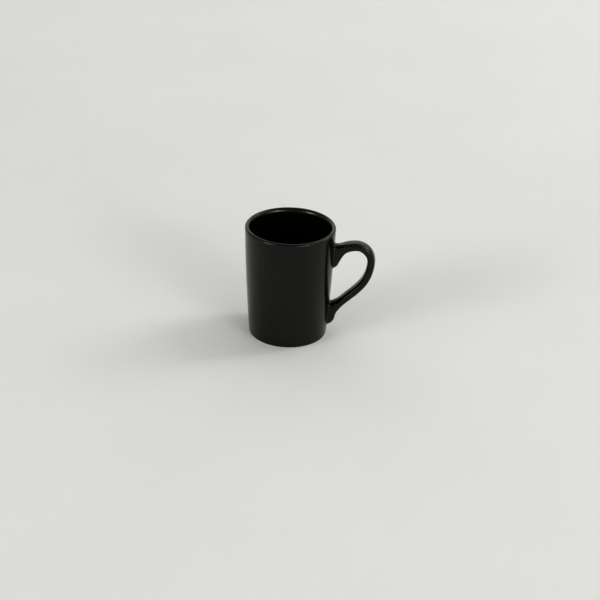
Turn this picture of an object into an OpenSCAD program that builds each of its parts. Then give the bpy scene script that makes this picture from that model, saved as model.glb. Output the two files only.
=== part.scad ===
// Ceramic mug: a slightly tapered clay cup with a strap handle luted on, glazed black all over
// except for the bare ring that it stands on. Millimetres. The origin is the centre of the foot
// ring, on the table. +Z is up, and the handle points along +X.

/* [Cup] */
// Diameter across the rim, over the glaze
rim_d = 80; // [78:0.5:82]
// Diameter of the wall just above the foot, over the glaze
base_d = 70.2; // [68.5:0.1:71.5]
// Height from the table to the top of the lip
cup_h = 104; // [100:1:108]
// Thickness of the wall where the lip starts inside, over the glaze
wall_top_t = 4.6; // [4.2:0.2:5.4]
// Thickness of the wall where it meets the floor, over the glaze
wall_base_t = 5.2; // [4.8:0.2:6.2]
// Radius of the outer half of the lip
lip_r = 2; // [1.4:0.1:2.2]
// Height over which the inner half of the lip rolls over, from its crest down to the wall
lip_roll = 5; // [3:0.2:6]
// How far the wall swells outward, half way up, from a straight taper
wall_swell = 0.6; // [0:0.1:0.8]
// Thickness of the floor, over the glaze
floor_t = 5; // [4:0.5:7]
// Radius of the corner between the floor and the inside of the wall
well_r = 9; // [5:0.5:12]

/* [Foot] */
// Height of the bare clay band under the edge of the outer glaze
bare_h = 0.6; // [0.6:0.1:1.5]
// Radius of the ring's rounded outer corner
foot_corner_r = 0.5; // [0.3:0.1:0.6]
// Diameter of the recess inside the foot ring
recess_d = 57; // [52:1:59]
// Depth of the recess, to the clay
recess_h = 2.4; // [2:0.1:3]
// Radius of the foot ring's inner edge and of the corner at the top of the recess
recess_edge_r = 1; // [0.6:0.1:1]

/* [Glaze] */
// Thickness of the glaze coat
glaze_t = 0.3; // [0.2:0.05:0.4]

/* [Handle] */
// How far the strap's outer face reaches from the cup's axis
handle_reach = 76; // [72:0.2:80]
// Height of the top of the strap above the table
handle_top = 92.6; // [90:0.2:95]
// Height of the lower pad's bottom end above the table, at the wall
handle_foot = 9.4; // [8:0.2:12]
// Width of the strap from side to side
strap_w = 12.6; // [11:0.2:14]
// Thickness of the layer of slip that lutes each pad of the handle to the wall
slip_t = 0.6; // [0.4:0.1:1]

/* [Hidden] */
$fn = 96;

rim_r = rim_d / 2;
base_r = base_d / 2;
recess_r = recess_d / 2;

// Heights at which the wall starts, above the bare band, and ends, under the lip's round. Inside,
// the wall ends lower, because the lip rolls over more gently there
wall_low = bare_h;
wall_high = cup_h - lip_r;
bore_high = cup_h - lip_roll;

// Heights of the floor's glazed top and of the clay under it
floor_z = recess_h - glaze_t + floor_t;
clay_floor_z = floor_z - glaze_t;

// Centres of the rounded corners in the cup's section
lip_centre = [rim_r - lip_r, wall_high];
foot_centre = [base_r - glaze_t - foot_corner_r, foot_corner_r];
bead_centre = [base_r - glaze_t, wall_low + glaze_t];
recess_centre = [recess_r - recess_edge_r, recess_h - recess_edge_r];
ring_centre = [recess_r + recess_edge_r, recess_edge_r];

// Straight steps in the wall, in each rounded corner and in a quarter of the lip, and how many of
// the recess's corner steps the glaze covers before it stops
wall_steps = 8;
corner_steps = 6;
lip_steps = 6;
recess_glaze_steps = 4;

// The handle's loop, at the design size below. Its outer face is an arc over the top, a wider arc
// down the side and then a straight strand, and the strap keeps one thickness along all three. Out
// is counted from the wall's foot and up is counted from the lower pad's bottom end.
LOOP_REACH = 41;
LOOP_RISE = 83;
strap_t = 7;
top_bend_r = 17.5;
side_bend_r = 44;
strand_angle = 45;
top_centre = [LOOP_REACH - top_bend_r, LOOP_RISE - top_bend_r];
side_centre = [LOOP_REACH - side_bend_r, top_centre[1]];

// Each pad ends in a round nose whose centre is inside the wall. The top edge of the upper pad
// slopes up towards the loop, and the top edge of the lower pad is level.
nose_r = 9;
upper_nose = [1, 65.5];
lower_nose = [-1.5, 8.5];
upper_pad_top = 78.8;
upper_pad_slope = 0.12;
lower_pad_top = 22;

// The ribs where the strap flares into its pads: [out, up] outside and then [out, up] inside
UPPER_THROAT = [16, 82, 15, 73];
LOWER_THROAT = [8.5, 12, 5, 23];
station_steps = 4;

// The strap's section is a soft-cornered oval: 2 would be an ellipse, and more is squarer
strap_power = 3;
section_sides = 20;

// How far up the wall height z is, from 0 to 1, and how far the wall swells there
function wall_t_at(z) = (z - wall_low) / (wall_high - wall_low);
function swell_at(t) = 4 * wall_swell * t * (1 - t);

// Radius of the outer face of the wall, over the glaze, at height z
function wall_r_at(z) =
    let (t = wall_t_at(z))
    base_r + (rim_r - base_r) * t + swell_at(t);

// Radius of the inner face of the wall, over the glaze, at height z
function bore_r_at(z) =
    let (t = wall_t_at(z))
    base_r - wall_base_t + (rim_r - wall_top_t - base_r + wall_base_t) * t + swell_at(t);

well_centre = [bore_r_at(floor_z + well_r) - well_r, floor_z + well_r];

// Level distance from the lip's crest to the wall inside
lip_in_w = lip_centre[0] - bore_r_at(bore_high);

function arc(centre, r, from, to, steps) = [
    for (i = [0:steps])
        let (a = from + (to - from) * i / steps)
        centre + r * [cos(a), sin(a)]
];

// Part of an ellipse with a level half axis a and an upright half axis b
function oval(centre, a, b, from, to, steps) = [
    for (i = [0:steps])
        let (angle = from + (to - from) * i / steps)
        centre + [a * cos(angle), b * sin(angle)]
];

// Outlines in [radius, height], from low to high, each set back from the glazed surface by inset
function outer_wall(inset, first = 0) = [
    for (i = [first:wall_steps])
        let (z = wall_low + (wall_high - wall_low) * i / wall_steps)
        [wall_r_at(z) - inset, z]
];
function bore_wall(inset) = [
    for (i = [1:wall_steps])
        let (z = well_centre[1] + (bore_high - well_centre[1]) * i / wall_steps)
        [bore_r_at(z) + inset, z]
];

// The lip from the outside of the wall up to its crest, and from the crest down inside
function lip_out(inset) = arc(lip_centre, lip_r - inset, 0, 90, lip_steps);
function lip_in(inset) =
    oval([lip_centre[0], bore_high], lip_in_w - inset, lip_roll - inset, 90, 180, lip_steps);
function well_arc(inset) = arc(well_centre, well_r + inset, -90, 0, corner_steps);
function recess_arc(inset, steps) =
    arc(recess_centre, recess_edge_r - inset, 90, 90 - 90 * steps / corner_steps, steps);

function reversed(list) = [for (i = [len(list) - 1:-1:0]) list[i]];

// Curve through p1 and p2, at t from 0 to 1 between them
function curve(p0, p1, p2, p3, t) =
    (2 * p1 + (p2 - p0) * t
     + (2 * p0 - 5 * p1 + 4 * p2 - p3) * t * t
     + (3 * p1 - p0 - 3 * p2 + p3) * t * t * t) / 2;

// Ribs of the loop, each [out, up] for the outer face and then [out, up] for the inner face
function polar(r, a) = r * [cos(a), sin(a)];
function bend_rib(centre, r, a) = concat(centre + polar(r, a), centre + polar(r - strap_t, a));
function strand_rib(length) =
    let (step = -length * [sin(strand_angle), cos(strand_angle)])
    bend_rib(side_centre, side_bend_r, -strand_angle) + concat(step, step);
function upper_pad_rib(a) =
    let (p = upper_nose + polar(nose_r, a))
    [p[0], upper_pad_top + upper_pad_slope * p[0], p[0], p[1]];
function lower_pad_rib(a, inner_out) =
    concat(lower_nose + polar(nose_r, a), [inner_out, lower_pad_top]);

// The ribs from the upper pad round to the lower one, which the loop's curve goes through
STATIONS = concat(
    [for (a = [-90, -70, -43, -5]) upper_pad_rib(a)],
    [UPPER_THROAT],
    [for (a = [84:-28:0]) bend_rib(top_centre, top_bend_r, a)],
    [for (a = [-15:-15:-strand_angle]) bend_rib(side_centre, side_bend_r, a)],
    [for (length = [10, 20]) strand_rib(length)],
    [LOWER_THROAT],
    [for (k = [1:3]) lower_pad_rib(18 - 36 * k, 5 - 2.5 * k)]
);
function station(i) =
    let (last = len(STATIONS) - 1)
    i < 0 ? 2 * STATIONS[0] - STATIONS[1]
    : i > last ? 2 * STATIONS[last] - STATIONS[last - 1]
    : STATIONS[i];

// One rib of the loop for each step between the stations first and last
function ribs(first, last) = [
    for (i = [first:last - 1], k = [0:station_steps - 1])
        curve(station(i - 1), station(i), station(i + 1), station(i + 2), k / station_steps),
    station(last)
];

// A rib's point on the outer face (side 0) or on the inner face (side 1), in the cup's frame
out_scale = (handle_reach - base_r) / LOOP_REACH;
up_scale = (handle_top - handle_foot) / LOOP_RISE;
function face_point(rib, side) =
    [base_r + rib[2 * side] * out_scale, 0, handle_foot + rib[2 * side + 1] * up_scale];

function rounded(v) = sign(v) * pow(abs(v), 2 / strap_power);
function ring(rib, inset) =
    let (
        outer = face_point(rib, 0),
        inner = face_point(rib, 1),
        middle = (outer + inner) / 2,
        half = (outer - inner) / 2,
        shrink = (norm(half) - inset) / norm(half)
    )
    [for (k = [0:section_sides - 1])
        let (a = 360 * k / section_sides)
        middle + half * shrink * rounded(cos(a)) + [0, (strap_w / 2 - inset) * rounded(sin(a)), 0]
    ];

// The handle's strap between two stations, set back from its glazed surface by inset
module strap(inset, first = 0, last = len(STATIONS) - 1) {
    rings = [for (r = ribs(first, last)) ring(r, inset)];
    count = len(rings);
    sides = section_sides;
    walls = [
        for (i = [0:count - 2], k = [0:sides - 1])
            let (a = i * sides + k, b = i * sides + (k + 1) % sides)
            each [[a, b, b + sides], [a, b + sides, a + sides]]
    ];
    start_cap = [for (k = [sides - 1:-1:0]) k];
    end_cap = [for (k = [0:sides - 1]) (count - 1) * sides + k];
    polyhedron([for (r = rings) each r], concat(walls, [start_cap, end_cap]));
}

// The cup's clay, solid inside, grown outward from the clay's surface by extra
module wall_mass(extra) {
    low = wall_low;
    side = outer_wall(glaze_t - extra);
    rotate_extrude()
        polygon(concat([[0, low]], side, [[0, wall_high]]));
}

// A layer of the given thickness on the outside of the clay wall
module wall_layer(thickness) {
    rotate_extrude()
        polygon(concat(outer_wall(glaze_t), reversed(outer_wall(glaze_t - thickness))));
}

module cup_body() {
    ring_edge = arc(ring_centre, recess_edge_r, 180, 270, corner_steps);
    under = concat([[0, recess_h]], recess_arc(0, corner_steps), ring_edge);
    foot = arc(foot_centre, foot_corner_r, -90, 0, corner_steps);
    outside = concat(foot, outer_wall(glaze_t), lip_out(glaze_t), lip_in(glaze_t));
    inside = concat(reversed(bore_wall(glaze_t)), reversed(well_arc(glaze_t)), [[0, clay_floor_z]]);
    color("#d9d0bf")
        rotate_extrude()
            polygon(concat(under, outside, inside));
}

module handle() {
    color("#d9d0bf")
        difference() {
            strap(glaze_t);
            wall_mass(slip_t);
        }
}

module slip_joint(first, last) {
    color("#b9ad98")
        intersection() {
            strap(glaze_t, first, last);
            wall_layer(slip_t);
        }
}

module upper_slip_joint() { slip_joint(0, 3); }

module lower_slip_joint() { slip_joint(len(STATIONS) - 4, len(STATIONS) - 1); }

module outer_glaze() {
    bead = arc(bead_centre, glaze_t, -90, 0, corner_steps);
    coat = concat(bead, outer_wall(0, 1), lip_out(0));
    clay = concat(outer_wall(glaze_t, 1), lip_out(glaze_t));
    color("#1b1b1a")
        difference() {
            rotate_extrude()
                polygon(concat(coat, reversed(clay)));
            strap(glaze_t);
        }
}

module liner_glaze() {
    coat = concat([[0, floor_z]], well_arc(0), bore_wall(0), reversed(lip_in(0)));
    clay = concat([[0, clay_floor_z]], well_arc(glaze_t), bore_wall(glaze_t),
                  reversed(lip_in(glaze_t)));
    color("#141413")
        rotate_extrude()
            polygon(concat(coat, reversed(clay)));
}

module handle_glaze() {
    color("#1b1b1a")
        difference() {
            strap(0);
            strap(glaze_t);
            wall_mass(glaze_t);
        }
}

module underside_glaze() {
    coat = concat([[0, recess_h - glaze_t]], recess_arc(glaze_t, recess_glaze_steps));
    clay = concat([[0, recess_h]], recess_arc(0, recess_glaze_steps));
    color("#1b1b1a")
        rotate_extrude()
            polygon(concat(coat, reversed(clay)));
}

cup_body();
handle();
upper_slip_joint();
lower_slip_joint();
outer_glaze();
liner_glaze();
handle_glaze();
underside_glaze();
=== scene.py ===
"""Looks for the ceramic mug: a black glazed clay cup with a luted strap handle.

Shapes are worked out in millimetres, in the CAD frame, and turned into metres when a mesh is
made. The origin is the centre of the foot ring, +Z is up and the handle points along +X.
"""

import math

import bmesh
import bpy
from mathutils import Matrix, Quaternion, Vector


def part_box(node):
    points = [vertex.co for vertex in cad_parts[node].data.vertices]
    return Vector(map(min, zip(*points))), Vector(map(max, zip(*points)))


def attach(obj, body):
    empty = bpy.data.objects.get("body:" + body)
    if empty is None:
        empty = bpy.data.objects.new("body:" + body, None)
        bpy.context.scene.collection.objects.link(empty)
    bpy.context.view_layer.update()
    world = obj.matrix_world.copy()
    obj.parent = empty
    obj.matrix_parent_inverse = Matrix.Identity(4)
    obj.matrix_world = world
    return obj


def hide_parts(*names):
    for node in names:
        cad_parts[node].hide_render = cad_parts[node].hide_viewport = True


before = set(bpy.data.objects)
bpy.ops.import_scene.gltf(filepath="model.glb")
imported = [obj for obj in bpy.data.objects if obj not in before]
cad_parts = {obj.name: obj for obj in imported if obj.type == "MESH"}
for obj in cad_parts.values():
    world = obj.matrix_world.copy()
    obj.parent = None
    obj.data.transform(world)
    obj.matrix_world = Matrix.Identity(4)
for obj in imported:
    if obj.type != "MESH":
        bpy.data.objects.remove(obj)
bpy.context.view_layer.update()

MM = 0.001

# ---------------------------------------------------------------------------------------------
# Driving sizes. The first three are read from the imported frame, and the others are the part's
# own parameters, because the frame doesn't give them.
# ---------------------------------------------------------------------------------------------
CUP_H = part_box("outer_glaze")[1].z / MM
RIM_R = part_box("outer_glaze")[1].y / MM
STRAP_W = 2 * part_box("handle_glaze")[1].y / MM

BASE_R = 35.1
WALL_TOP_T = 4.6
WALL_BASE_T = 5.2
LIP_R = 2.0
LIP_ROLL = 5.0
WALL_SWELL = 0.6
FLOOR_T = 5.0
WELL_R = 9.0
BARE_H = 0.6
FOOT_CORNER_R = 0.5
RECESS_R = 28.5
RECESS_H = 2.4
RECESS_EDGE_R = 1.0
GLAZE_T = 0.3
HANDLE_REACH = 76.0
HANDLE_TOP = 92.6
HANDLE_FOOT = 9.4

WALL_LOW = BARE_H
WALL_HIGH = CUP_H - LIP_R
BORE_HIGH = CUP_H - LIP_ROLL
FLOOR_Z = RECESS_H - GLAZE_T + FLOOR_T

# How finely the turned pieces are cut: round the axis, up a wall and in a quarter of a corner
TURN_STEPS = 192
WALL_STEPS = 24
CORNER_STEPS = 10
LIP_IN_STEPS = 20

# A point nearer to the axis than this is on it, and faces that meet at more than this are sharp
ON_AXIS_R = 1e-6
SHARP_TURN = 50
SHARP_HANDLE_TURN = 60


# ---------------------------------------------------------------------------------------------
# Outlines of the cup, as (radius, height) points
# ---------------------------------------------------------------------------------------------
def wall_t_at(z):
    """How far up the wall height z is, from 0 to 1."""
    return (z - WALL_LOW) / (WALL_HIGH - WALL_LOW)


def wall_r_at(z):
    """Radius of the outside of the wall, over the glaze."""
    t = wall_t_at(z)
    return BASE_R + (RIM_R - BASE_R) * t + 4 * WALL_SWELL * t * (1 - t)


def bore_r_at(z):
    """Radius of the inside of the wall, over the glaze."""
    t = wall_t_at(z)
    low = BASE_R - WALL_BASE_T
    return low + (RIM_R - WALL_TOP_T - low) * t + 4 * WALL_SWELL * t * (1 - t)


LIP_CENTRE = (RIM_R - LIP_R, WALL_HIGH)
FOOT_CENTRE = (BASE_R - GLAZE_T - FOOT_CORNER_R, FOOT_CORNER_R)
BEAD_CENTRE = (BASE_R - GLAZE_T, WALL_LOW + GLAZE_T)
WELL_CENTRE = (bore_r_at(FLOOR_Z + WELL_R) - WELL_R, FLOOR_Z + WELL_R)
RECESS_CENTRE = (RECESS_R - RECESS_EDGE_R, RECESS_H - RECESS_EDGE_R)
RING_CENTRE = (RECESS_R + RECESS_EDGE_R, RECESS_EDGE_R)


def arc(centre, radius, start, end, steps=CORNER_STEPS):
    """Points along an arc, with both ends."""
    points = []
    for i in range(steps + 1):
        a = math.radians(start + (end - start) * i / steps)
        points.append((centre[0] + radius * math.cos(a), centre[1] + radius * math.sin(a)))
    return points


def oval(centre, across, up, start, end, steps=CORNER_STEPS):
    """Points along part of an ellipse, with both ends."""
    points = []
    for i in range(steps + 1):
        a = math.radians(start + (end - start) * i / steps)
        points.append((centre[0] + across * math.cos(a), centre[1] + up * math.sin(a)))
    return points


def lip_out(inset):
    """The lip from the outside of the wall up to its crest."""
    return arc(LIP_CENTRE, LIP_R - inset, 0, 90)


def lip_in(inset):
    """The lip from its crest down to the inside of the wall, which rolls over more gently."""
    centre = (LIP_CENTRE[0], BORE_HIGH)
    across = centre[0] - bore_r_at(BORE_HIGH) - inset
    return oval(centre, across, LIP_ROLL - inset, 90, 180, LIP_IN_STEPS)


def outer_wall(inset, first=0):
    """The outside of the wall from low to high, set back by inset."""
    points = []
    for i in range(first, WALL_STEPS + 1):
        z = WALL_LOW + (WALL_HIGH - WALL_LOW) * i / WALL_STEPS
        points.append((wall_r_at(z) - inset, z))
    return points


def bore_wall(inset):
    """The inside of the wall from the well's corner to the lip, set back by inset."""
    points = []
    for i in range(1, WALL_STEPS + 1):
        z = WELL_CENTRE[1] + (BORE_HIGH - WELL_CENTRE[1]) * i / WALL_STEPS
        points.append((bore_r_at(z) + inset, z))
    return points


def floor_line(height, radius, steps=8):
    """A level line from the axis out to a radius, without its outer end."""
    return [(radius * i / steps, height) for i in range(steps)]


# ---------------------------------------------------------------------------------------------
# Mesh making
# ---------------------------------------------------------------------------------------------
def turn_outward(mesh):
    """Turns every face of a closed mesh to face outward."""
    shell = bmesh.new()
    shell.from_mesh(mesh)
    bmesh.ops.recalc_face_normals(shell, faces=shell.faces)
    shell.to_mesh(mesh)
    shell.free()


def new_piece(name, points, faces, outward=True):
    """A smooth shaded object from points in millimetres."""
    mesh = bpy.data.meshes.new(name)
    mesh.from_pydata([Vector(p) * MM for p in points], [], faces)
    mesh.validate()
    if outward:
        turn_outward(mesh)
    mesh.shade_smooth()
    piece = bpy.data.objects.new(name, mesh)
    bpy.context.scene.collection.objects.link(piece)
    return piece


def sharpen(piece, degrees):
    """Marks the edges that turn by more than an angle as sharp."""
    piece.data.set_sharp_from_angle(angle=math.radians(degrees))


def turned(name, outline, closed=True):
    """Turns an outline of (radius, height) points round the axis. Points on the axis are poles."""
    points = []
    rings = []
    for radius, height in outline:
        if radius < ON_AXIS_R:
            rings.append([len(points)])
            points.append((0, 0, height))
            continue
        rings.append(list(range(len(points), len(points) + TURN_STEPS)))
        for k in range(TURN_STEPS):
            a = 2 * math.pi * k / TURN_STEPS
            points.append((radius * math.cos(a), radius * math.sin(a), height))
    faces = []
    pairs = list(zip(rings, rings[1:]))
    if closed:
        pairs.append((rings[-1], rings[0]))
    for low, high in pairs:
        faces.extend(band(low, high))
    return new_piece(name, points, faces, outward=closed)


def band(low, high):
    """The faces between two rings, where either may be a single pole."""
    faces = []
    if len(low) == 1 and len(high) == 1:
        return faces
    for k in range(TURN_STEPS):
        n = (k + 1) % TURN_STEPS
        if len(low) == 1:
            faces.append((low[0], high[n], high[k]))
        elif len(high) == 1:
            faces.append((low[k], low[n], high[0]))
        else:
            faces.append((low[k], low[n], high[n], high[k]))
    return faces


# ---------------------------------------------------------------------------------------------
# The cup's pieces
# ---------------------------------------------------------------------------------------------
def make_clay_cup():
    """The turned clay body, whose foot ring is left bare."""
    under = floor_line(RECESS_H, RECESS_CENTRE[0])
    under += arc(RECESS_CENTRE, RECESS_EDGE_R, 90, 0)
    ring = arc(RING_CENTRE, RECESS_EDGE_R, 180, 270)
    foot = arc(FOOT_CENTRE, FOOT_CORNER_R, -90, 0)
    outside = outer_wall(GLAZE_T) + lip_out(GLAZE_T)[1:] + lip_in(GLAZE_T)[1:]
    inside = bore_wall(GLAZE_T)[::-1][1:]
    inside += arc(WELL_CENTRE, WELL_R + GLAZE_T, 0, -90)
    top = floor_line(FLOOR_Z - GLAZE_T, WELL_CENTRE[0])[::-1]
    piece = turned("clay_cup", under + ring + foot + outside + inside + top)
    sharpen(piece, SHARP_TURN)
    return piece


def make_outside_glaze():
    """The coat outside the cup, from its bead above the foot to the top of the lip."""
    bead = arc(BEAD_CENTRE, GLAZE_T, -90, 0)
    coat = bead + outer_wall(0, 1) + lip_out(0)[1:]
    clay = outer_wall(GLAZE_T, 1) + lip_out(GLAZE_T)[1:]
    piece = turned("glaze_outside", coat + clay[::-1])
    sharpen(piece, SHARP_TURN)
    return piece


def make_inside_glaze():
    """The coat inside the cup: floor, well, wall and the inner half of the lip."""
    coat = floor_line(FLOOR_Z, WELL_CENTRE[0]) + arc(WELL_CENTRE, WELL_R, -90, 0)
    coat += bore_wall(0) + lip_in(0)[::-1][1:]
    clay = floor_line(FLOOR_Z - GLAZE_T, WELL_CENTRE[0])
    clay += arc(WELL_CENTRE, WELL_R + GLAZE_T, -90, 0)
    clay += bore_wall(GLAZE_T) + lip_in(GLAZE_T)[::-1][1:]
    piece = turned("glaze_inside", coat + clay[::-1])
    sharpen(piece, SHARP_TURN)
    return piece


def make_underside_glaze():
    """The coat in the recess under the cup, which stops short of the bare ring."""
    coat = floor_line(RECESS_H - GLAZE_T, RECESS_CENTRE[0])
    coat += arc(RECESS_CENTRE, RECESS_EDGE_R - GLAZE_T, 90, 30)
    clay = floor_line(RECESS_H, RECESS_CENTRE[0]) + arc(RECESS_CENTRE, RECESS_EDGE_R, 90, 30)
    piece = turned("glaze_underside", coat + clay[::-1])
    sharpen(piece, SHARP_TURN)
    return piece


# ---------------------------------------------------------------------------------------------
# The handle's glazed skin: the strap's loop, with a soft fillet where each pad meets the wall
# ---------------------------------------------------------------------------------------------
# The loop at its design size. Its outer face is an arc over the top, a wider arc down the side and
# a straight strand, and the strap keeps one thickness along all three. Out is counted from the
# wall's foot and up is counted from the lower pad's bottom end.
LOOP_REACH = 41
LOOP_RISE = 83
STRAP_T = 7
TOP_BEND_R = 17.5
SIDE_BEND_R = 44
STRAND_ANGLE = 45
TOP_CENTRE = (LOOP_REACH - TOP_BEND_R, LOOP_RISE - TOP_BEND_R)
SIDE_CENTRE = (LOOP_REACH - SIDE_BEND_R, TOP_CENTRE[1])

# Each pad ends in a round nose whose centre is inside the wall. The top edge of the upper pad
# slopes up towards the loop, and the top edge of the lower pad is level.
NOSE_R = 9
UPPER_NOSE = (1, 65.5)
LOWER_NOSE = (-1.5, 8.5)
UPPER_PAD_TOP = 78.8
UPPER_PAD_SLOPE = 0.12
LOWER_PAD_TOP = 22

# The ribs where the strap flares into its pads
UPPER_THROAT = (16, 82, 15, 73)
LOWER_THROAT = (8.5, 12, 5, 23)


def polar(centre, r, degrees):
    """The point at an angle on a circle."""
    a = math.radians(degrees)
    return (centre[0] + r * math.cos(a), centre[1] + r * math.sin(a))


def bend_rib(centre, r, degrees):
    """A rib on a bend, as the outer face's out and up and then the inner face's."""
    return polar(centre, r, degrees) + polar(centre, r - STRAP_T, degrees)


def strand_rib(length):
    """A rib on the straight strand, a given length after the end of the side's bend."""
    a = math.radians(STRAND_ANGLE)
    step = (-length * math.sin(a), -length * math.cos(a))
    start = bend_rib(SIDE_CENTRE, SIDE_BEND_R, -STRAND_ANGLE)
    return tuple(value + move for value, move in zip(start, step + step))


def upper_pad_rib(degrees):
    """A rib of the upper pad, whose inner face is its round nose."""
    out, up = polar(UPPER_NOSE, NOSE_R, degrees)
    return (out, UPPER_PAD_TOP + UPPER_PAD_SLOPE * out, out, up)


def lower_pad_rib(degrees, inner_out):
    """A rib of the lower pad, whose outer face is its round nose."""
    return polar(LOWER_NOSE, NOSE_R, degrees) + (inner_out, LOWER_PAD_TOP)


# The ribs from the upper pad round to the lower one, which the loop's curve goes through
STATIONS = [upper_pad_rib(a) for a in (-90, -70, -43, -5)]
STATIONS.append(UPPER_THROAT)
STATIONS += [bend_rib(TOP_CENTRE, TOP_BEND_R, a) for a in (84, 56, 28, 0)]
STATIONS += [bend_rib(SIDE_CENTRE, SIDE_BEND_R, a) for a in (-15, -30, -45)]
STATIONS += [strand_rib(length) for length in (10, 20)]
STATIONS.append(LOWER_THROAT)
STATIONS += [lower_pad_rib(18 - 36 * k, 5 - 2.5 * k) for k in (1, 2, 3)]

# The strap's section is a soft cornered oval: 2 would be an ellipse, and more is squarer
STRAP_POWER = 3.0
STRAP_SIDES = 64
LOOP_STEPS = 120

# The fillet's size, how far its foot runs on past it and under the wall's surface, and how deep
# inside the wall the skin is closed
FILLET = 2.0
FILLET_STEPS = 8
TUCK_OUT = 0.5
TUCK_DEPTH = 0.04
CAP_DEPTH = 0.25

# How far along the loop, in stations, each rib is evened out with its neighbours
SOFTEN = 0.3

# How often a crossing is halved, and the stride along the loop, in stations, that measures length
HALVINGS = 40
STRIDE = 0.01


def station(i):
    """Station i, with one more beyond each end, in line with the last two."""
    last = len(STATIONS) - 1
    if i < 0:
        return [2 * a - b for a, b in zip(STATIONS[0], STATIONS[1])]
    if i > last:
        return [2 * a - b for a, b in zip(STATIONS[last], STATIONS[last - 1])]
    return STATIONS[i]


def rib(s):
    """The loop's rib at s, which counts stations, on the curve through them all."""
    s = min(max(s, 0), len(STATIONS) - 1)
    i = min(int(s), len(STATIONS) - 2)
    t = s - i
    found = []
    for p0, p1, p2, p3 in zip(station(i - 1), station(i), station(i + 1), station(i + 2)):
        value = 2 * p1 + (p2 - p0) * t
        value += (2 * p0 - 5 * p1 + 4 * p2 - p3) * t * t
        value += (3 * p1 - p0 - 3 * p2 + p3) * t ** 3
        found.append(value / 2)
    return found


def soft_rib(s):
    """The rib at s, evened out a little with its neighbours so that reflections flow."""
    near = [rib(s + SOFTEN * k) for k in (-1, -0.5, 0, 0.5, 1)]
    return [sum(values) / len(values) for values in zip(*near)]


def rounded(v):
    """A cosine or sine pushed out towards a soft cornered oval."""
    return math.copysign(abs(v) ** (2 / STRAP_POWER), v)


def strap_point(side, s):
    """The point of the glazed strap at section corner number side, at s along the loop."""
    a = 2 * math.pi * side / STRAP_SIDES
    values = soft_rib(s)
    out_scale = (HANDLE_REACH - BASE_R) / LOOP_REACH
    up_scale = (HANDLE_TOP - HANDLE_FOOT) / LOOP_RISE
    outer = Vector((BASE_R + values[0] * out_scale, 0, HANDLE_FOOT + values[1] * up_scale))
    inner = Vector((BASE_R + values[2] * out_scale, 0, HANDLE_FOOT + values[3] * up_scale))
    middle = (outer + inner) / 2
    half = (outer - inner) / 2
    return middle + half * rounded(math.cos(a)) + Vector((0, STRAP_W / 2 * rounded(math.sin(a)), 0))


def off_wall(p):
    """How far a point is outside the cup's glazed wall."""
    return math.hypot(p.x, p.y) - wall_r_at(p.z)


def on_wall(p, lift=0.0):
    """The nearest point of the wall at the same height, lifted off it."""
    r = wall_r_at(p.z) + lift
    scale = r / math.hypot(p.x, p.y)
    return Vector((p.x * scale, p.y * scale, p.z))


def crossing(side, start, end):
    """Where one long line of the strap leaves the wall, between start, inside, and end, outside."""
    for _ in range(HALVINGS):
        middle = (start + end) / 2
        if off_wall(strap_point(side, middle)) > 0:
            end = middle
        else:
            start = middle
    return end


def step_along(side, s, length, sign):
    """The value of s a given length further along one of the strap's long lines."""
    step = STRIDE * sign
    here = strap_point(side, s)
    gone = 0
    while gone < length:
        there = strap_point(side, s + step)
        gone += (there - here).length
        here = there
        s += step
    return s


def skirt(edge, above):
    """Rings from the strap down onto the wall: a fillet with a tucked under end.

    edge is the ring where the strap meets the wall, and above is the ring on the strap."""
    count = len(edge)
    centre = sum(edge, Vector()) / count
    rings = []
    feet = []
    for k, p in enumerate(edge):
        along = edge[(k + 1) % count] - edge[k - 1]
        normal = Vector((p.x, p.y, 0)).normalized()
        out = along.cross(normal).normalized()
        if out.dot(p - centre) < 0:
            out.negate()
        feet.append(out)
    for i in range(1, FILLET_STEPS + 1):
        t = i / FILLET_STEPS
        ring = []
        for k, p in enumerate(edge):
            foot = on_wall(p + feet[k] * FILLET)
            ring.append(above[k] * (1 - t) ** 2 + p * 2 * t * (1 - t) + foot * t * t)
        rings.append(ring)
    rings.append([on_wall(p + feet[k] * (FILLET + TUCK_OUT), -TUCK_DEPTH)
                  for k, p in enumerate(edge)])
    rings.append([on_wall(p, -CAP_DEPTH) for p in edge])
    return rings


def make_handle_glaze():
    """The whole skin of the handle, from the upper pad round to the lower one."""
    last = len(STATIONS) - 1
    begin = [crossing(k, 0, 4) for k in range(STRAP_SIDES)]
    end = [crossing(k, last, last - 4) for k in range(STRAP_SIDES)]
    first_edge = [strap_point(k, begin[k]) for k in range(STRAP_SIDES)]
    last_edge = [strap_point(k, end[k]) for k in range(STRAP_SIDES)]
    begin = [step_along(k, begin[k], FILLET, 1) for k in range(STRAP_SIDES)]
    end = [step_along(k, end[k], FILLET, -1) for k in range(STRAP_SIDES)]
    loop = []
    for i in range(LOOP_STEPS + 1):
        t = i / LOOP_STEPS
        loop.append([strap_point(k, begin[k] + (end[k] - begin[k]) * t)
                     for k in range(STRAP_SIDES)])
    rings = skirt(first_edge, loop[0])[::-1] + loop + skirt(last_edge, loop[-1])
    points = [p for ring in rings for p in ring]
    faces = []
    for i in range(len(rings) - 1):
        for k in range(STRAP_SIDES):
            a = i * STRAP_SIDES + k
            b = i * STRAP_SIDES + (k + 1) % STRAP_SIDES
            faces.append((a, b, b + STRAP_SIDES, a + STRAP_SIDES))
    faces.append(list(range(STRAP_SIDES))[::-1])
    faces.append([(len(rings) - 1) * STRAP_SIDES + k for k in range(STRAP_SIDES)])
    piece = new_piece("glaze_handle", points, faces)
    sharpen(piece, SHARP_HANDLE_TURN)
    return piece


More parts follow.
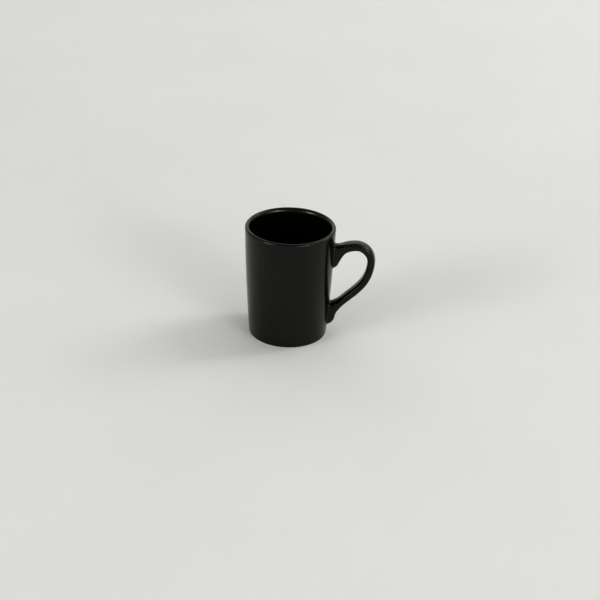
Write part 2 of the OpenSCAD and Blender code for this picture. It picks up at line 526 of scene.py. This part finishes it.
# ---------------------------------------------------------------------------------------------
# Materials
# ---------------------------------------------------------------------------------------------
class Shader:
    """A material with a Principled shader, and short ways to add nodes to it."""

    def __init__(self, name):
        self.material = bpy.data.materials.new(name)
        self.material.use_nodes = True
        self.tree = self.material.node_tree
        self.principled = self.tree.nodes["Principled BSDF"]
        self.place = self.tree.nodes.new("ShaderNodeTexCoord").outputs["Object"]

    def link(self, output, node, socket):
        self.tree.links.new(output, node.inputs[socket])

    def noise(self, size_mm, detail=3.0, roughness=0.55, distortion=0.0):
        """Noise whose features are about size_mm across, from 0 to 1."""
        node = self.tree.nodes.new("ShaderNodeTexNoise")
        node.inputs["Scale"].default_value = 1 / (size_mm * MM)
        node.inputs["Detail"].default_value = detail
        node.inputs["Roughness"].default_value = roughness
        node.inputs["Distortion"].default_value = distortion
        self.link(self.place, node, "Vector")
        return node.outputs["Fac"]

    def cells(self, size_mm):
        """Distance to the middle of the nearest cell, for cells about size_mm across."""
        node = self.tree.nodes.new("ShaderNodeTexVoronoi")
        node.inputs["Scale"].default_value = 1 / (size_mm * MM)
        self.link(self.place, node, "Vector")
        return node.outputs["Distance"]

    def height(self):
        """The height above the table, in millimetres."""
        node = self.tree.nodes.new("ShaderNodeSeparateXYZ")
        self.link(self.place, node, "Vector")
        return self.math("MULTIPLY", node.outputs["Z"], 1 / MM)

    def math(self, operation, a, b):
        node = self.tree.nodes.new("ShaderNodeMath")
        node.operation = operation
        for i, value in enumerate((a, b)):
            if isinstance(value, (int, float)):
                node.inputs[i].default_value = value
            else:
                self.tree.links.new(value, node.inputs[i])
        return node.outputs[0]

    def spread(self, value, low, high, to_low=0.0, to_high=1.0):
        """value from low to high, mapped smoothly to to_low to to_high and held beyond them."""
        node = self.tree.nodes.new("ShaderNodeMapRange")
        node.interpolation_type = "SMOOTHSTEP"
        node.inputs["From Min"].default_value = low
        node.inputs["From Max"].default_value = high
        node.inputs["To Min"].default_value = to_low
        node.inputs["To Max"].default_value = to_high
        self.tree.links.new(value, node.inputs["Value"])
        return node.outputs["Result"]

    def mix(self, factor, a, b):
        """Colour a where factor is 0 and colour b where it is 1."""
        node = self.tree.nodes.new("ShaderNodeMix")
        node.data_type = "RGBA"
        self.tree.links.new(factor, node.inputs["Factor"])
        for socket, value in ((node.inputs[6], a), (node.inputs[7], b)):
            if isinstance(value, tuple):
                socket.default_value = (*value, 1)
            else:
                self.tree.links.new(value, socket)
        return node.outputs[2]

    def bump(self, value, depth_mm, under=None):
        """Raises the surface by up to depth_mm where value is 1."""
        node = self.tree.nodes.new("ShaderNodeBump")
        node.inputs["Strength"].default_value = 1.0
        node.inputs["Distance"].default_value = depth_mm * MM
        self.tree.links.new(value, node.inputs["Height"])
        if under is not None:
            self.tree.links.new(under, node.inputs["Normal"])
        return node.outputs["Normal"]


# The band under the lip's crest over which the glaze gets thin
LIP_BREAK_START = 1.1
LIP_BREAK_END = 0.1


def black_glaze(name, broken_lip):
    """Satin black glaze: a warm near black, slightly uneven in tone, gloss and thickness.

    broken_lip says how far the glaze breaks to brown where it runs thin at the lip."""
    s = Shader(name)
    clouds = s.spread(s.noise(16, 4), 0.35, 0.7)
    colour = s.mix(clouds, (0.0016, 0.0016, 0.0004), (0.0024, 0.0023, 0.0007))
    specks = s.spread(s.cells(2.6), 0.1, 0.03)
    where = s.spread(s.noise(5, 2), 0.56, 0.66)
    colour = s.mix(s.math("MULTIPLY", specks, where), colour, (0.010, 0.0085, 0.0065))
    if broken_lip:
        lip = s.spread(s.height(), CUP_H - LIP_BREAK_START, CUP_H - LIP_BREAK_END)
        thin = s.math("MULTIPLY", lip, s.spread(s.noise(7, 3), 0.35, 0.65, 0.4, 1.0))
        colour = s.mix(s.math("MULTIPLY", thin, broken_lip), colour, (0.016, 0.013, 0.010))
    s.link(colour, s.principled, "Base Color")
    gloss = s.math("ADD", s.spread(s.noise(9, 4), 0.3, 0.7, 0.17, 0.22),
                   s.spread(s.noise(1.1, 2), 0.35, 0.65, -0.01, 0.015))
    s.link(gloss, s.principled, "Roughness")
    s.principled.inputs["IOR"].default_value = 1.4
    wave = s.bump(s.noise(18, 2, 0.4), 0.05)
    peel = s.bump(s.noise(1.6, 3, 0.5), 0.006, wave)
    pits = s.bump(s.spread(s.cells(3.4), 0.02, 0.06), 0.015, peel)
    s.link(pits, s.principled, "Normal")
    return s.material


def bare_clay(name, tone=1.0):
    """Fired white stoneware: grainy, dry, with warmer patches and darker grog."""
    s = Shader(name)
    pale = tuple(tone * v for v in (0.62, 0.585, 0.51))
    warm = tuple(tone * v for v in (0.50, 0.455, 0.375))
    dark = tuple(tone * v for v in (0.22, 0.18, 0.13))
    colour = s.mix(s.spread(s.noise(6, 4), 0.35, 0.65), pale, warm)
    grog = s.spread(s.cells(0.9), 0.14, 0.06)
    where = s.spread(s.noise(1.7, 2), 0.55, 0.65)
    colour = s.mix(s.math("MULTIPLY", grog, where), colour, dark)
    s.link(colour, s.principled, "Base Color")
    s.link(s.spread(s.noise(2.4, 3), 0.3, 0.7, 0.74, 0.92), s.principled, "Roughness")
    s.principled.inputs["IOR"].default_value = 1.45
    grain = s.bump(s.noise(0.35, 3), 0.02)
    coarse = s.bump(s.noise(1.4, 3), 0.03, grain)
    s.link(coarse, s.principled, "Normal")
    return s.material


def use_material(piece, material):
    """Gives a piece this one material."""
    piece.data.materials.clear()
    piece.data.materials.append(material)


# ---------------------------------------------------------------------------------------------
# Stage: floor, lights and camera
# ---------------------------------------------------------------------------------------------
# The camera looks at this point from this far away. Azimuth 0 would look along +Y.
CAMERA_AIM = Vector((10.48, 0.9, 30.12)) * MM
CAMERA_DISTANCE = 1210 * MM
CAMERA_AZIMUTH = math.radians(4.93)
CAMERA_ELEVATION = math.radians(28.34)
CAMERA_ROLL = math.radians(2.01)
LENS_MM = 80.42
SENSOR_MM = 36.0


def make_camera():
    """The camera, at the angle that the mug is seen from, turned a little about its own axis."""
    data = bpy.data.cameras.new("camera")
    data.lens = LENS_MM
    data.sensor_width = SENSOR_MM
    data.clip_start = 0.01
    data.clip_end = 50
    camera = bpy.data.objects.new("camera", data)
    bpy.context.scene.collection.objects.link(camera)
    level = math.cos(CAMERA_ELEVATION)
    back = Vector((math.sin(CAMERA_AZIMUTH) * level, -math.cos(CAMERA_AZIMUTH) * level,
                   math.sin(CAMERA_ELEVATION)))
    camera.location = CAMERA_AIM + back * CAMERA_DISTANCE
    camera.rotation_mode = "QUATERNION"
    facing = (-back).to_track_quat("-Z", "Y")
    camera.rotation_quaternion = facing @ Quaternion((0, 0, 1), CAMERA_ROLL)
    bpy.context.scene.camera = camera


def floor_material():
    """Matte pale board."""
    s = Shader("pale_floor")
    tone = s.spread(s.noise(240, 2), 0.3, 0.7)
    s.link(s.mix(tone, (0.775, 0.78, 0.758), (0.79, 0.795, 0.773)), s.principled, "Base Color")
    s.principled.inputs["Roughness"].default_value = 0.9
    s.principled.inputs["IOR"].default_value = 1.2
    return s.material


# The floor's flat part, the curve round its edge and the wall above that, in millimetres
FLOOR_FLAT_R = 3600
FLOOR_RINGS = 9
FLOOR_CURVE_R = 1200
FLOOR_CURVE_STEPS = 12
FLOOR_WALL_TOP = 3000


def make_floor():
    """A wide round floor that curves up far away, so that no horizon shows."""
    ring_gap = FLOOR_FLAT_R // FLOOR_RINGS
    outline = [(0, 0)] + [(ring_gap * i, 0) for i in range(1, FLOOR_RINGS + 1)]
    outline += arc((FLOOR_FLAT_R, FLOOR_CURVE_R), FLOOR_CURVE_R, -90, 0, FLOOR_CURVE_STEPS)[1:]
    outline.append((FLOOR_FLAT_R + FLOOR_CURVE_R, FLOOR_WALL_TOP))
    floor = turned("stage_floor", outline, closed=False)
    use_material(floor, floor_material())


def make_light(name, azimuth, elevation, distance, width, height, radiance):
    """A soft box. Azimuth is from straight towards the camera, positive to its right."""
    data = bpy.data.lights.new(name, "AREA")
    data.shape = "RECTANGLE"
    data.size = width
    data.size_y = height
    data.energy = radiance * math.pi * width * height
    lamp = bpy.data.objects.new(name, data)
    bpy.context.scene.collection.objects.link(lamp)
    facing = CAMERA_AZIMUTH - math.pi / 2 + math.radians(azimuth)
    e = math.radians(elevation)
    way = Vector((math.cos(facing) * math.cos(e), math.sin(facing) * math.cos(e), math.sin(e)))
    target = Vector((0, 0, CUP_H / 2 * MM))
    lamp.location = target + way * distance
    lamp.rotation_mode = "QUATERNION"
    lamp.rotation_quaternion = (-way).to_track_quat("-Z", "Y")


def make_world(radiance):
    """Even, faint light from all round."""
    world = bpy.data.worlds.new("studio")
    world.use_nodes = True
    background = world.node_tree.nodes["Background"]
    background.inputs["Color"].default_value = (1, 1, 0.985, 1)
    background.inputs["Strength"].default_value = radiance
    bpy.context.scene.world = world


WORLD_RADIANCE = 0.34
VIEW_GAMMA = 0.8

# Name, azimuth, elevation, distance, width, height and radiance, in degrees and metres
LIGHTS = [
    ("key_softbox", 104, 56, 4.0, 2.4, 2.4, 0.75),
    ("key_strip", 108, 50, 3.9, 0.5, 1.4, 7),
    ("right_low_softbox", 114, 33, 3.9, 1.4, 0.7, 6.5),
    ("front_right_softbox", 42, 20, 4.0, 3.4, 1.8, 2.0),
    ("front_right_lamp", 40, 21, 3.9, 1.0, 0.6, 14),
    ("left_softbox", -55, 22, 4.0, 3.0, 1.6, 1.4),
    ("left_lamp", -56, 19, 3.9, 1.2, 0.8, 12),
    ("back_softbox", 180, 31, 3.0, 6.0, 1.9, 0.88),
]


def make_stage():
    """The floor, the lights and the view's tone curve."""
    make_floor()
    make_world(WORLD_RADIANCE)
    for light in LIGHTS:
        make_light(*light)
    bpy.context.scene.view_settings.view_transform = "Standard"
    bpy.context.scene.view_settings.gamma = VIEW_GAMMA


# ---------------------------------------------------------------------------------------------
# Assembly
# ---------------------------------------------------------------------------------------------
def dress(piece, material, node):
    """Gives a new piece its material, and lets it stand for a CAD node."""
    use_material(piece, material)
    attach(piece, "root")
    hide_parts(node)


def main():
    clay = bare_clay("fired_clay")
    slip = bare_clay("slip", 0.8)
    glaze = black_glaze("black_glaze", 0.2)
    plain_glaze = black_glaze("black_glaze_handle", 0)
    dress(make_clay_cup(), clay, "cup_body")
    dress(make_outside_glaze(), glaze, "outer_glaze")
    dress(make_inside_glaze(), glaze, "liner_glaze")
    dress(make_underside_glaze(), plain_glaze, "underside_glaze")
    dress(make_handle_glaze(), plain_glaze, "handle_glaze")
    use_material(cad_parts["handle"], clay)
    use_material(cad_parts["upper_slip_joint"], slip)
    use_material(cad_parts["lower_slip_joint"], slip)
    make_stage()
    make_camera()


main()
